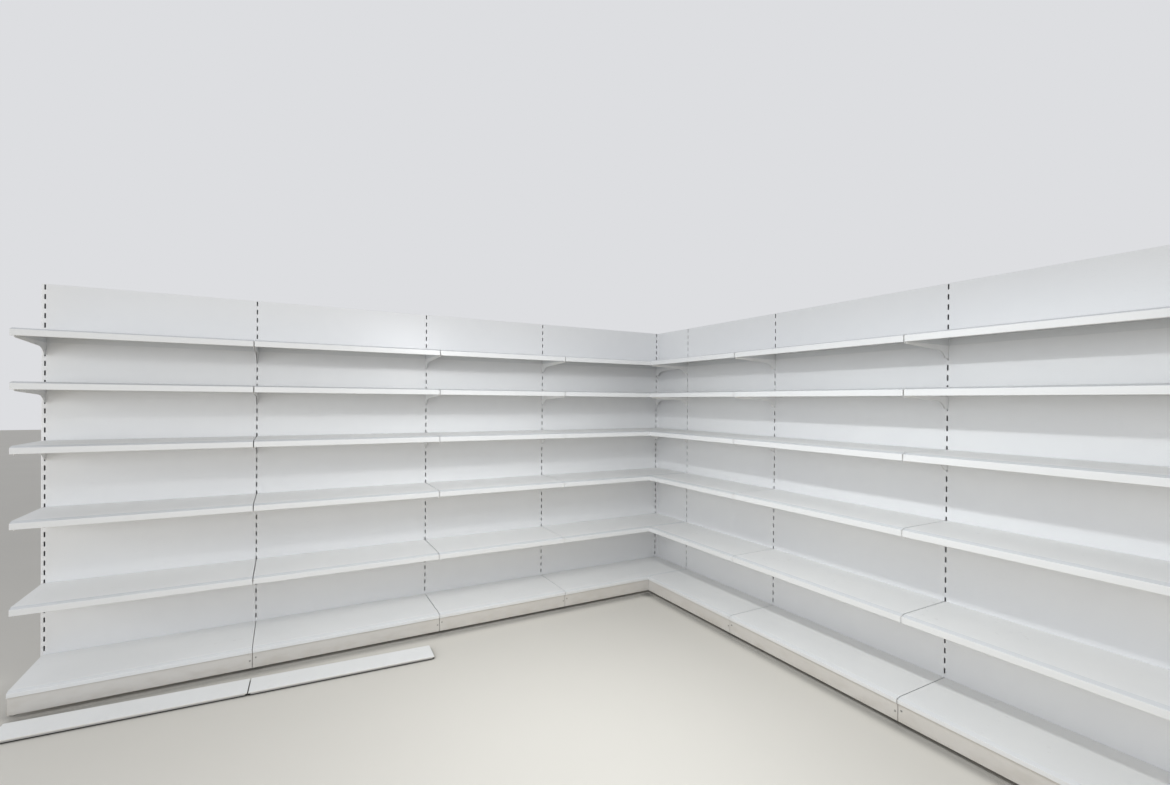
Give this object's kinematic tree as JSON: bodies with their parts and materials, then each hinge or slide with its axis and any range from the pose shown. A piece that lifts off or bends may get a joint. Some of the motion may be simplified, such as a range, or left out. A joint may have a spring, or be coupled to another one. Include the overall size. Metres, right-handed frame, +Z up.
{
  "type": "corner shop wall shelving",
  "caption": "L-shaped corner run of white sheet-steel wall shelving with slotted uprights, back panels, bracketed shelves and a plinth base",
  "frame": {"origin": "on the floor, under the middle of the bounding box", "axes": "+X to the right along the long run as seen from its front, +Y into the long run's back, +Z up; the short run comes forward from the right-hand end along -Y"},
  "size_m": [4.113, 3.326, 2.082],
  "materials": {
    "upright_white": "smooth powder coat, satin",
    "panel_white": "smooth powder coat, satin",
    "bracket_white": "smooth powder coat, satin",
    "shelf_white": "smooth powder coat, satin",
    "plinth_white": "smooth powder coat, satin",
    "leg_grey": "smooth powder coat, satin",
    "foot_grey": "matt moulded plastic"
  },
  "bodies": {
    "root": {"left_upright_1": "upright_white", "left_upright_2": "upright_white", "left_upright_3": "upright_white", "left_upright_4": "upright_white", "left_upright_5": "upright_white", "right_upright_1": "upright_white", "right_upright_2": "upright_white", "right_upright_3": "upright_white", "right_upright_4": "upright_white", "left_panel_1": "panel_white", "left_panel_2": "panel_white", "left_panel_3": "panel_white", "left_panel_4": "panel_white", "right_panel_1": "panel_white", "right_panel_2": "panel_white", "right_panel_3": "panel_white", "corner_panel": "panel_white", "left_brackets_1": "bracket_white", "left_brackets_2": "bracket_white", "left_brackets_3": "bracket_white", "left_brackets_4": "bracket_white", "left_brackets_5": "bracket_white", "right_brackets_1": "bracket_white", "right_brackets_2": "bracket_white", "right_brackets_3": "bracket_white", "right_brackets_4": "bracket_white", "left_shelves_1": "shelf_white", "left_shelves_2": "shelf_white", "left_shelves_3": "shelf_white", "left_shelves_4": "shelf_white", "left_shelves_5": "shelf_white", "right_shelves_1": "shelf_white", "right_shelves_2": "shelf_white", "right_shelves_3": "shelf_white", "right_shelves_4": "shelf_white", "right_shelves_5": "shelf_white", "left_base_shelves": "shelf_white", "right_base_shelves": "shelf_white", "left_plinths": "plinth_white", "right_plinths": "plinth_white", "left_base_legs": "leg_grey", "right_base_legs": "leg_grey", "levelling_feet": "foot_grey", "loose_plate_left": "plinth_white", "loose_plate_right": "plinth_white"}
  },
  "joints": []
}
